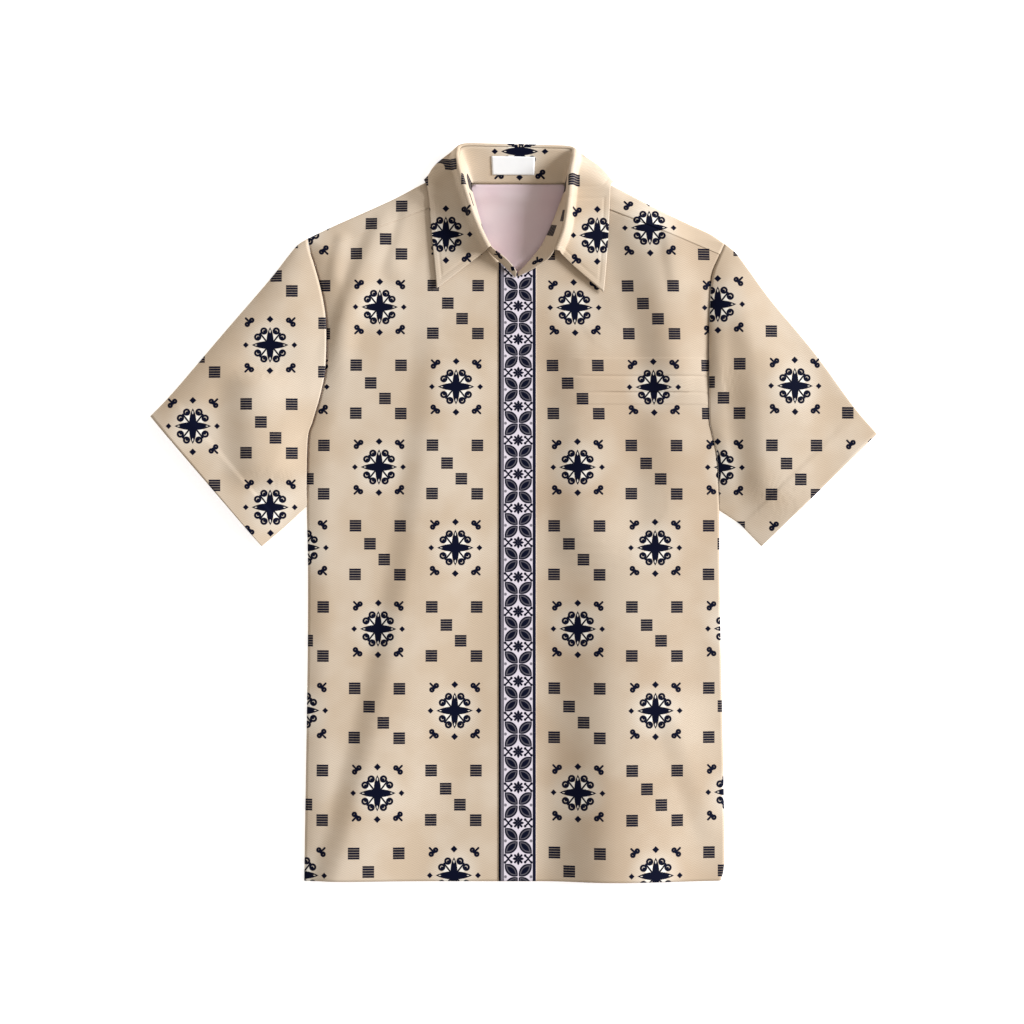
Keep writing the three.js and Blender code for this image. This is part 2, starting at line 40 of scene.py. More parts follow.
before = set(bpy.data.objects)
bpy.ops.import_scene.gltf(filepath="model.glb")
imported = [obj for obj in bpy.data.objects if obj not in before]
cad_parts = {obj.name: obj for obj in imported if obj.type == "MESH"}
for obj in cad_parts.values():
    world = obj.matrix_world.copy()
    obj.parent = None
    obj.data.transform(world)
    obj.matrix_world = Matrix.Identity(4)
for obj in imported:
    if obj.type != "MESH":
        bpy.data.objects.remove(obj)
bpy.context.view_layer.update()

# ---------- sizes in millimetres ----------
MM = 0.001
WALL = 1.2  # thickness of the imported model's cloth
CLOTH = 0.7  # thickness of the visible cloth
GAP = 0.3
LAYER = WALL + GAP
LOFT = 3.6
SIDE_ROLL = 26.0
ARMHOLE_GAP = 0.3
SHOULDER_SLANT = 0.91
HEM_Y = -411.9
BACK_YOKE_SEAM_Y = 255.0
BACK_NECK_Y = 367.2
UNDERLAP_X = 22.0
PLACKET_LEFT = -16.5
PLACKET_RIGHT = 25.5
HEM_TURN = 35.0  # depth of the sleeves' turned hems
POCKET = {"left": 77.0, "right": 211.0, "bottom": 135.0, "top": 152.5}

RIGHT_SIDE = [  # x, y: side seam, then armhole
    (-234.2, -411.9), (-232.8, -321), (-230.3, -160), (-230, -60), (-231.3, 7.6), (-230.2, 80), (-224.6, 102),
    (-215.6, 133), (-210, 165.5), (-210, 218), (-217.8, 259.6), (-228.5, 295.4), (-230.2, 306.9),
]
LEFT_SIDE = [
    (231.8, -411.9), (235.2, -399), (236.2, -374), (234.5, -267), (232.2, -158), (230.8, -73), (230.2, 3.1),
    (228.4, 58), (222.3, 89), (219, 112), (219, 199), (220.1, 238.3), (222.3, 266.3), (229, 285), (236, 301.3),
]
RIGHT_SHOULDER = [
    (-230.2, 306.9), (-198.8, 321.8), (-167.2, 335.9), (-132.7, 351.6), (-96.5, 370.2), (-57, 387),
]
LEFT_SHOULDER = [(66, 386), (107.9, 367.1), (158.1, 341.3), (195.9, 323), (219.4, 312.2), (236, 301.3)]
RIGHT_YOKE_SEAM = [(-227.2, 291.4), (-47.6, 361)]
LEFT_YOKE_SEAM = [(58.2, 360.6), (231.4, 291)]
RIGHT_FRONT_ROWS = [  # height on the side, and where that row meets the front edge or neck
    (HEM_Y, UNDERLAP_X, HEM_Y), (7.6, UNDERLAP_X, 4), (165.5, UNDERLAP_X, 160), (236, UNDERLAP_X, 250),
    (248, 1, 262.5), (262, -15, 279.5), (274, -29, 299), (283, -39, 332), (291, -47.3, 360.3),
]
LEFT_FRONT_ROWS = [
    (HEM_Y, PLACKET_RIGHT - 2, HEM_Y), (3.1, PLACKET_RIGHT - 2, 3), (165.5, PLACKET_RIGHT - 2, 170),
    (256, PLACKET_RIGHT - 2, 285), (268, 33, 302), (278, 42.5, 322), (290.5, 57.9, 360),
]
SLEEVES = {
    "sleeve_right": {
        "top": [(-230.6, 306.9), (-241.5, 299.7), (-253.2, 286), (-274.5, 258.9), (-324.2, 201.3),
                (-380.6, 135.2), (-406.6, 108)],
        "under": [(-231.8, 7), (-256, -16), (-281.7, -37.7)],
        "side": RIGHT_SIDE, "away": -1.0, "print": (-271.9, 187.3, 86.3, 90.6),
        "loft": 6.6, "roll": 34.0, "armhole_roll": 80.0, "armhole_rise": 0.25,
    },
    "sleeve_left": {
        "top": [(236.4, 301.3), (249, 290.7), (263.1, 271.9), (289.1, 236.5), (336.2, 180), (381, 118.7),
                (406.9, 88.4)],
        "under": [(230.6, 2.6), (252.6, -12.3), (263, -22.7), (277.8, -37.7)],
        "side": LEFT_SIDE, "away": 1.0, "print": (314.3, 141.7, 85.9, 91.2),
        "loft": 3.2, "roll": 64.0, "armhole_roll": 28.0, "armhole_rise": 0.15,
    },
}

# Folds: start, middle and end in plan, reach to the left and to the right of the crest, height at start and end.
FOLDS = [
    (-80, 272, -86, -45, -196, -411, 34, 100, 2.2, 7.0),
    (-134, 350, -168, 280, -216, 146, 18, 30, 2.6, 4.0),
    (-114, 352, -122, 310, -142, 258, 13, 24, 1.9, 1.9),
    (-190, 318, -196, 290, -204, 250, 12, 14, 1.6, 1.4),
    (112, 40, 116, -200, 112, -430, 84, 118, 5.5, 18.0),
    (74, 225, 76, 90, 80, -80, 44, 70, 4.4, 5.0),
    (134, 366, 168, 250, 205, 110, 52, 90, 5.0, 9.0),
    (168, 330, 178, 290, 184, 240, 14, 30, 1.8, 1.8),
    (172, -196, 200, -285, 240, -380, 30, 70, 2.6, 3.6),
    (166, 130, 180, 60, 176, -60, 46, 70, 2.4, 2.2),
    (254, 300, 278, 150, 288, -20, 40, 90, 5.6, 7.6),
    (-290, 172, -290, 100, -278, 22, 46, 60, 6.6, 6.6),
]

# Collar stand: neck seam and top edge, from the right front end round the back to the left one.
STAND = np.array([
    (2.5, 262.8, 7.7, 3.6, 269.2, 11.5), (-5, 269.8, 7.7, -1.5, 276, 15.5), (-15, 280, 7.7, -10.5, 285, 18.5),
    (-28, 293, 6.5, -25, 296.5, 21), (-31.5, 308, 6.5, -31.5, 309, 24.5), (-39, 333, 6.5, -42, 333, 27),
    (-45, 355, 8.3, -50.5, 358, 28), (-47.5, 365.5, 8, -57, 380, 26.5), (-47.5, 368.2, 6, -59.5, 391, 23.5),
    (-46, 368.9, 3.6, -60.2, 401, 18.5), (-42, 368.6, 2.4, -55.2, 408.4, 13), (-25, 368.3, 2.2, -27, 408.6, 11.5),
    (5, 368.3, 2.2, 5, 408, 11), (35, 368.3, 2.2, 37, 406.8, 11.5), (52, 368.6, 2.4, 62.5, 405.4, 13),
    (56, 368.9, 3.6, 64.6, 399, 18.5), (57.6, 368.2, 6, 63.5, 390, 23.5), (57.6, 365, 8, 61.5, 380, 26.5),
    (54.5, 353, 8.3, 59.3, 354, 28), (42.5, 322, 6.5, 54.5, 319, 27), (33.5, 303, 6.7, 47.5, 298.5, 24),
    (30, 297, 7, 45.6, 292.6, 22.6), (24, 289, 8, 38.5, 282.5, 20), (15, 278.5, 8.1, 25, 273.5, 17.5),
    (9, 272.3, 8.1, 12, 266.8, 14.5), (6, 269.6, 8.2, 4.6, 263.8, 12),
])
LEAF_FIRST = 3  # the stand's station where the leaf begins
LEAF = np.array([  # bulge point, edge point
    (-44, 282.2, 11, -85.9, 250.6, 9.0), (-48, 297, 11.6, -87.3, 267, 9.0), (-57, 327, 12.4, -91.5, 312, 9.0),
    (-65, 355, 13, -94.5, 349, 9.6), (-73, 377, 13, -97, 365, 9.8), (-88, 386, 10, -100, 372.5, 1.8),
    (-96, 392, 1.5, -91, 361, 0.6), (-72, 400, 0.6, -66, 357.5, 0.6), (-30, 402, 0.6, -30, 357, 0.6),
    (5, 402, 0.6, 5, 357, 0.6), (40, 401, 0.6, 40, 357, 0.6), (80, 398, 0.6, 75, 357.5, 0.6),
    (107, 390, 1.5, 101, 359, 0.6), (99, 386, 10, 111.5, 370.5, 1.8), (79, 376, 12.4, 108.3, 364, 9.8),
    (75, 353, 12.4, 107.6, 348, 9.6), (70, 317, 12, 106, 312, 9.2), (64, 290, 11.6, 103.3, 272, 9.2),
    (63, 278, 11, 100.9, 246, 9.2),
])
LEAF_ROLL = [(0.3, 0), (2.2, 0.5), (3.4, 2.4), (2.6, 4.8)]  # up and out from the stand's top

LEAF_DROP = 6.0  # distance in which the leaf drops from the roll
TOPSTITCH = 6.5  # how far in from the leaf's edges its line of stitches pulls a groove

# The spacing of the repeat across and up the body.
BODY_PRINT = (85.1, 90.6)


# ---------- sums on whole arrays ----------
def roll(t):
    """0 at an edge and 1 inside: twice t less t squared, so it leaves steeply and arrives level."""
    t = np.clip(t, 0, 1)
    return t * (2 - t)


def soft(t):
    """The smooth step: t squared times three less twice t."""
    t = np.clip(t, 0, 1)
    return t * t * (3 - 2 * t)


def mix(a, b, t):
    """a where t is 0, b where it is 1, straight in between."""
    return a + (b - a) * t


def smooth(rows, count=400):
    """Points along a Catmull-Rom spline through the rows, evenly spaced by its length."""
    p = np.asarray(rows, float)
    p = np.vstack([2 * p[0] - p[1], p, 2 * p[-1] - p[-2]])
    t = np.linspace(0, len(rows) - 1 - 1e-9, count)
    i = t.astype(int)
    f = (t - i)[:, None]
    a, b, c, d = p[i], p[i + 1], p[i + 2], p[i + 3]
    curve = 0.5 * (2 * b + (c - a) * f + (2 * a - 5 * b + 4 * c - d) * f**2 + (3 * b - a - 3 * c + d) * f**3)
    run = np.concatenate([[0], np.cumsum(np.linalg.norm(np.diff(curve, axis=0), axis=1))])
    even = np.linspace(0, run[-1], count)
    return np.stack([np.interp(even, run, curve[:, k]) for k in range(p.shape[1])], axis=1)


def along(outline, share):
    """The points at those shares of an outline's length."""
    at = np.linspace(0, 1, len(outline))
    return np.stack([np.interp(share, at, outline[:, k]) for k in range(outline.shape[1])], axis=-1)


SIDE_R = smooth(RIGHT_SIDE)
SIDE_L = smooth(LEFT_SIDE)
SHOULDER_R = smooth(RIGHT_SHOULDER)
SHOULDER_L = smooth(LEFT_SHOULDER)


def side_x(side, y):
    """How far out a side outline is at each height."""
    return np.interp(y, side[:, 1], side[:, 0])


def fold_height(x, y):
    """The sum of the folds: each is a cosine hump across a bent line that fades out over its ends."""
    total = np.zeros_like(x)
    for x0, y0, x1, y1, x2, y2, left, right, start, end in FOLDS:
        nearest = np.full_like(x, 1e9)
        at = np.zeros_like(x)
        crest_x = np.zeros_like(x)
        for t in np.linspace(0, 1, 81):
            px = mix(mix(x0, x1, t), mix(x1, x2, t), t)
            py = mix(mix(y0, y1, t), mix(y1, y2, t), t)
            gap = np.hypot(x - px, y - py)
            closer = gap < nearest
            nearest = np.where(closer, gap, nearest)
            at = np.where(closer, t, at)
            crest_x = np.where(closer, px, crest_x)
        reach = mix(left, right, soft((x - crest_x) / 6 + 0.5))
        fade = soft(at / 0.2)
        if y2 > HEM_Y + 5:
            fade = fade * soft((1 - at) / 0.2)
        total += mix(start, end, at) * np.cos(np.pi / 2 * np.clip(nearest / reach, 0, 1)) ** 2 * fade
    return total


def neck_raise(x, y):
    """How much the back neck is lifted by the collar leaf folded beneath it."""
    return 2.4 * soft((y - 342) / 14) * soft((128 - np.abs(x - 5)) / 22)


def in_from_edge(x, y):
    """Distance in from the nearest side seam, armhole or shoulder fold."""
    right = np.interp(x, SHOULDER_R[:, 0], SHOULDER_R[:, 1])
    left = np.interp(x, SHOULDER_L[:, 0], SHOULDER_L[:, 1])
    shoulder = np.where(x < 0, right, left)
    sides = np.minimum(x - side_x(SIDE_R, y), side_x(SIDE_L, y) - x)
    return np.minimum(sides, SHOULDER_SLANT * (shoulder - y))


def back_middle(x, y):
    """Height of the middle of the back layer."""
    return WALL / 2 + neck_raise(x, y)


def front_middle(x, y):
    """Height of the middle of the front layer: the back's, one layer up, with its loft and folds."""
    inside = np.minimum(in_from_edge(x, y), 0.4 * (side_x(SIDE_L, y) - x))
    return back_middle(x, y) + LAYER + (LOFT + fold_height(x, y)) * roll(inside / SIDE_ROLL)


def pocket_relief(x, y):
    """The chest pocket seen through the front: a panel half a millimetre proud of it that fades out at its ends, with
    a groove along the top of its lip and a step beneath."""
    ends = soft((x - 64) / 16) * soft((222 - x) / 14)
    panel = 0.6 * soft((y - 120.4) / 2) * soft((173.9 - y) / 2)
    groove = -0.9 * np.exp(-(((y - 152.6) / 1.3) ** 2)) - 0.5 * np.exp(-(((y - 134.2) / 1.4) ** 2))
    return ends * (panel + groove)


def lip_height(x, y):
    """The pocket's lip: a low crown between its two lines that sinks into the front at both ends."""
    ends = soft((x - POCKET["left"]) / 50) * soft((POCKET["right"] - x) / 30)
    crown = soft((POCKET["top"] - y) / 5) * soft((y - POCKET["bottom"]) / 2 + 0.3)
    return front_middle(x, y) + pocket_relief(x, y) - 0.12 + 0.6 * ends * crown


# ---------- meshes ----------
def grid_normals(grid, looped):
    """Unit normals of a grid: the cross product of its steps along a row and up a column."""
    if looped:
        across = np.roll(grid, -1, axis=1) - np.roll(grid, 1, axis=1)
    else:
        across = np.gradient(grid, axis=1)
    normals = np.cross(across, np.gradient(grid, axis=0))
    return normals / np.maximum(np.linalg.norm(normals, axis=2, keepdims=True), 1e-9)


def wall_mesh(parts):
    """One mesh of closed walls: each grid is moved half the thickness to both sides along its normals and joined
    round its border. Returns vertices, faces, print coordinates and, for each face, 1 on the inside."""
    verts, faces, prints, insides = [], [], [], []
    start = 0
    for grid, uv, thickness, looped, flip in parts:
        rows, cols = grid.shape[:2]
        normals = grid_normals(grid, looped) * (thickness / 2)
        outer = grid - normals if flip else grid + normals
        inner = grid + normals if flip else grid - normals
        ids = start + np.arange(rows * cols).reshape(rows, cols)
        if looped:
            ids = np.hstack([ids, ids[:, :1]])
        low = ids + rows * cols
        quads = np.stack([ids[:-1, :-1], ids[:-1, 1:], ids[1:, 1:], ids[1:, :-1]], axis=-1).reshape(-1, 4)
        under = (quads + rows * cols)[:, ::-1]
        rims = [
            np.stack([ids[0, :-1], low[0, :-1], low[0, 1:], ids[0, 1:]], axis=-1),
            np.stack([ids[-1, :-1], ids[-1, 1:], low[-1, 1:], low[-1, :-1]], axis=-1),
        ]
        if not looped:
            rims.append(np.stack([ids[:-1, 0], ids[1:, 0], low[1:, 0], low[:-1, 0]], axis=-1))
            rims.append(np.stack([ids[:-1, -1], low[:-1, -1], low[1:, -1], ids[1:, -1]], axis=-1))
        rim = np.vstack(rims)
        piece = np.vstack([quads, under, rim])
        faces.append(piece[:, ::-1] if flip else piece)
        insides.append(np.concatenate([np.zeros(len(quads)), np.ones(len(under)), np.zeros(len(rim))]))
        verts.append(np.vstack([outer.reshape(-1, 3), inner.reshape(-1, 3)]))
        prints.append(np.tile(uv.reshape(-1, 2), (2, 1)))
        start += 2 * rows * cols
    return np.vstack(verts), np.vstack(faces), np.vstack(prints), np.concatenate(insides)


def cloth_piece(name, parts, materials, node):
    """Makes a smooth-shaded piece of cloth, with its print coordinates as a UV map, that stands for a CAD node."""
    verts, faces, prints, insides = wall_mesh(parts)
    mesh = bpy.data.meshes.new(name)
    mesh.vertices.add(len(verts))
    mesh.vertices.foreach_set("co", (verts * MM).ravel())
    mesh.loops.add(faces.size)
    mesh.loops.foreach_set("vertex_index", faces.ravel())
    mesh.polygons.add(len(faces))
    mesh.polygons.foreach_set("loop_start", np.arange(0, faces.size, 4))
    mesh.polygons.foreach_set("material_index", insides.astype(np.int32))
    mesh.update(calc_edges=True)
    uv_map = mesh.uv_layers.new(name="print")
    uv_map.data.foreach_set("uv", prints[faces.ravel()].ravel())
    mesh.shade_smooth()
    mesh.validate()
    for material in materials:
        mesh.materials.append(material)
    piece = bpy.data.objects.new(name, mesh)
    bpy.context.scene.collection.objects.link(piece)
    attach(piece, "root")
    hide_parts(node)
    return piece


def ruled(low, high, rows, columns):
    """Points on straight lines between two edges, in plan."""
    u = np.linspace(0, 1, columns)[None, :, None]
    return mix(low[:, None, :], high[:, None, :], u)


def print_on(plan, centre_x, centre_y, spacing_x=BODY_PRINT[0], spacing_y=BODY_PRINT[1]):
    """Print coordinates: plan distances from a medallion's centre, brought to the body's spacing."""
    u = (plan[..., 0] - centre_x) * BODY_PRINT[0] / spacing_x
    v = (plan[..., 1] - centre_y) * BODY_PRINT[1] / spacing_y
    return np.stack([u, v], axis=-1)


def drawn_out(d, gain, loss):
    """Distances down a hanging print: the cloth is a little closer at the shoulders and drawn out at the hem."""
    return d * (gain + loss * np.minimum(d, 0))


def print_on_right(plan):
    """The print on the wearer's right front, its half of the yoke and the back."""
    v = plan[..., 1] - 229.9
    u = (plan[..., 0] + 149.6 - 0.0045 * v) * BODY_PRINT[0] / 85.8
    return np.stack([u, drawn_out(v, 1.0192, 3.3e-5)], axis=-1)


def print_on_left(plan):
    """The print on the wearer's left front and its half of the yoke, which leans in towards the neck."""
    x, y = plan[..., 0], plan[..., 1]
    lean = 6.5 * np.clip((y - 50) / 270, 0, 1) ** 1.5 + 0.0008 * np.minimum(y - 50, 0)
    u = (x - 71.6 + lean) * BODY_PRINT[0] / 86.4
    return np.stack([u, drawn_out(y - 229.3, 1.0212, 3.3e-5)], axis=-1)


def raised(plan, height):
    """The plan's points at the heights that the function gives."""
    return np.dstack([plan, height(plan[..., 0], plan[..., 1])])


# ---------- colours and finishes ----------
def linear(code):
    """sRGB hex to linear red, green, blue and full alpha."""
    s = np.array([int(code[k : k + 2], 16) for k in (1, 3, 5)]) / 255
    rgb = np.where(s <= 0.04045, s / 12.92, ((s + 0.055) / 1.055) ** 2.4)
    return (*rgb, 1.0)


def put(tree, kind, *inputs, out=0, **settings):
    """Adds a node, gives it its settings, links or sets its inputs in order, and returns an output."""
    node = tree.nodes.new(kind)
    for key, value in settings.items():
        setattr(node, key, value)
    for k, value in enumerate(inputs):
        if value is None:
            continue
        if isinstance(value, bpy.types.NodeSocket):
            tree.links.new(value, node.inputs[k])
        else:
            node.inputs[k].default_value = value
    return node.outputs[out]


MATH = "ShaderNodeMath"
VECTOR = "ShaderNodeVectorMath"
MIX = "ShaderNodeMix"


def band(tree, value, low, high):
    """A smooth step of a value from low to high, between 0 and 1."""
    return put(tree, "ShaderNodeMapRange", value, low, high, 0.0, 1.0, interpolation_type="SMOOTHSTEP")


def union(tree, shapes):
    """The smallest of several signed distances."""
    total = shapes[0]
    for shape in shapes[1:]:
        total = put(tree, MATH, total, shape, operation="MINIMUM")
    return total


def ring(tree, at, centre, radius, half):
    """Signed distance to a round line: how far the distance to its centre differs from the radius."""
    gap = put(tree, VECTOR, at, centre, operation="DISTANCE", out=1)
    off = put(tree, MATH, put(tree, MATH, gap, radius, operation="SUBTRACT"), operation="ABSOLUTE")
    return put(tree, MATH, off, half, operation="SUBTRACT")


def dot(tree, at, centre, radius):
    """Signed distance to a disc."""
    gap = put(tree, VECTOR, at, centre, operation="DISTANCE", out=1)
    return put(tree, MATH, gap, radius, operation="SUBTRACT")


def lens(tree, along_it, across_it, half_length, half_width, power=2.0):
    """Signed distance, near enough, to a pointed leaf: the distance across it, less a half width that falls off with
    a power of the distance along it. A higher power makes its ends blunter."""
    far = put(tree, MATH, put(tree, MATH, along_it, operation="ABSOLUTE"), 1 / half_length, operation="MULTIPLY")
    far = put(tree, MATH, far, power, operation="POWER")
    edge = put(tree, MATH, far, half_width, -half_width, operation="MULTIPLY_ADD")
    return put(tree, MATH, across_it, edge, operation="ADD")


def spot(tree, x, y, half):
    """Signed distance to a diamond with slightly rounded points."""
    total = put(tree, MATH, put(tree, MATH, x, operation="ABSOLUTE"), put(tree, MATH, y, operation="ABSOLUTE"), operation="ADD")
    return put(tree, MATH, put(tree, MATH, total, half, operation="SUBTRACT"), 0.71, operation="MULTIPLY")


def stroke(tree, at, start, end, half):
    """Signed distance to a straight stroke with round ends."""
    a = np.array(start, float)
    run = np.array(end, float) - a
    away = put(tree, VECTOR, at, tuple(a), operation="SUBTRACT")
    share = put(tree, VECTOR, away, tuple(run / run.dot(run)), operation="DOT_PRODUCT", out=1)
    share = put(tree, MATH, share, 0.0, operation="ADD", use_clamp=True)
    step = put(tree, VECTOR, tuple(run), None, None, share, operation="SCALE")
    node = step.node
    tree.links.new(share, node.inputs["Scale"])
    gap = put(tree, VECTOR, away, step, operation="DISTANCE", out=1)
    return put(tree, MATH, gap, half, operation="SUBTRACT")


def medallion(tree, at):
    """The star-and-scroll rosette in one quarter, where at holds distances from its centre, both positive:
    two crossed leaves with a light slit near each tip, a forked stem with a scroll on each branch, a diamond
    beyond each tip and a small double curl in each corner."""
    x = put(tree, "ShaderNodeSeparateXYZ", at, out=0)
    y = put(tree, "ShaderNodeSeparateXYZ", at, out=1)
    slit_x = lens(tree, put(tree, MATH, x, 15.6, operation="SUBTRACT"), y, 1.4, 0.5)
    slit_y = lens(tree, put(tree, MATH, y, 15.3, operation="SUBTRACT"), x, 2.0, 0.65)
    slits = put(tree, MATH, union(tree, [slit_x, slit_y]), -1.0, operation="MULTIPLY")
    leaves = union(tree, [lens(tree, x, y, 20.2, 4.5, 2.3), lens(tree, y, x, 20.0, 4.0, 2.8), dot(tree, at, (0, 0, 0), 5.6)])
    shapes = [
        put(tree, MATH, leaves, slits, operation="MAXIMUM"),
        ring(tree, at, (13.6, 8.9, 0), 2.85, 1.25),
        dot(tree, at, (13.1, 8.3, 0), 1.6),
        stroke(tree, at, (13.1, 8.3, 0), (15.2, 6.8, 0), 0.8),
        ring(tree, at, (6.8, 15.6, 0), 2.85, 1.25),
        dot(tree, at, (6.4, 15.0, 0), 1.6),
        stroke(tree, at, (6.4, 15.0, 0), (4.5, 16.9, 0), 0.8),
        stroke(tree, at, (3.6, 3.6, 0), (10.4, 12.2, 0), 0.95),
        dot(tree, at, (10.6, 12.6, 0), 1.5),
        spot(tree, x, put(tree, MATH, y, 28.8, operation="SUBTRACT"), 3.9),
        spot(tree, put(tree, MATH, x, 26.7, operation="SUBTRACT"), y, 3.3),
        ring(tree, at, (20.4, 27.7, 0), 1.8, 1.3),
        dot(tree, at, (21.0, 27.1, 0), 1.1),
        ring(tree, at, (25.2, 23.2, 0), 1.8, 1.3),
        dot(tree, at, (24.6, 23.8, 0), 1.1),
        stroke(tree, at, (22.0, 25.0, 0), (27.0, 30.0, 0), 1.15),
    ]
    inner = union(tree, [dot(tree, at, (8.2, 8.4, 0), 5.5), slit_x, slit_y])
    halo = put(tree, MATH, dot(tree, at, (0, 0, 0), 15.0), 0.06, operation="MULTIPLY")
    return union(tree, shapes), inner, halo


def squares(tree, at):
    """One group of six barred squares: two above, a stepped pair in the middle and two below. Returns the signed
    distance to the squares, and to the five dark bars of each."""
    blocks, bars = [], []
    for cx, cy in ((-25.8, 24.6), (23.9, 24.4), (-9.6, 4.4), (6.3, -13.2), (-26.0, -29.8), (23.9, -30.2)):
        apart = put(tree, VECTOR, put(tree, VECTOR, at, (cx, cy, 0), operation="SUBTRACT"), operation="ABSOLUTE")
        dx = put(tree, "ShaderNodeSeparateXYZ", apart, out=0)
        dy = put(tree, "ShaderNodeSeparateXYZ", apart, out=1)
        block = put(tree, MATH, put(tree, MATH, dx, dy, operation="MAXIMUM"), 6.45, operation="SUBTRACT")
        bar = put(tree, MATH, put(tree, MATH, dy, 1.37, operation="PINGPONG"), 1.1, operation="SUBTRACT")
        blocks.append(block)
        bars.append(put(tree, MATH, block, bar, operation="MAXIMUM"))
    return union(tree, blocks), union(tree, bars)


def print_group():
    """The all-over repeat as a node group: from print coordinates in millimetres to dye and pale ground."""
    tree = bpy.data.node_groups.new("batik repeat", "ShaderNodeTree")
    tree.interface.new_socket("Place", in_out="INPUT", socket_type="NodeSocketVector")
    tree.interface.new_socket("Dye", in_out="OUTPUT", socket_type="NodeSocketFloat")
    tree.interface.new_socket("Pale", in_out="OUTPUT", socket_type="NodeSocketFloat")
    source = tree.nodes.new("NodeGroupInput")
    result = tree.nodes.new("NodeGroupOutput")
    step = (*BODY_PRINT, 1.0)
    cell = put(tree, VECTOR, source.outputs[0], step, operation="DIVIDE")
    whole = put(tree, VECTOR, put(tree, VECTOR, cell, (0.5, 0.5, 0.0), operation="ADD"), operation="FLOOR")
    local = put(tree, VECTOR, put(tree, VECTOR, cell, whole, operation="SUBTRACT"), step, operation="MULTIPLY")
    parity = put(tree, VECTOR, whole, (1, 1, 0), operation="DOT_PRODUCT", out=1)
    odd = put(tree, MATH, put(tree, MATH, parity, 1.0, operation="PINGPONG"), 0.5, operation="GREATER_THAN")
    mirrored = put(tree, VECTOR, local, operation="ABSOLUTE")
    star, inner, halo = medallion(tree, mirrored)
    block, bars = squares(tree, local)
    bar_dye = put(tree, MATH, 1.0, band(tree, bars, -0.3, 0.3), operation="SUBTRACT")
    block_dye = put(tree, MATH, 1.0, band(tree, block, -0.3, 0.3), operation="SUBTRACT")
    block_dye = put(tree, MATH, put(tree, MATH, block_dye, 0.62, operation="MULTIPLY"), bar_dye, operation="MAXIMUM")
    star_dye = put(tree, MATH, 1.0, band(tree, star, -0.3, 0.3), operation="SUBTRACT")
    dye = put(tree, MIX, odd, None, star_dye, block_dye, data_type="FLOAT")
    white = put(tree, MATH, 1.0, band(tree, inner, -0.8, 1.0), operation="SUBTRACT")
    glow = put(tree, MATH, put(tree, MATH, 1.0, band(tree, halo, -0.2, 1.3), operation="SUBTRACT"), 0.34,
               operation="MULTIPLY")
    pale = put(tree, MATH, put(tree, MATH, white, 0.95, operation="MULTIPLY"), glow, operation="MAXIMUM")
    pale = put(tree, MATH, pale, put(tree, MATH, 1.0, odd, operation="SUBTRACT"), operation="MULTIPLY")
    tree.links.new(dye, result.inputs[0])
    tree.links.new(pale, result.inputs[1])
    return tree


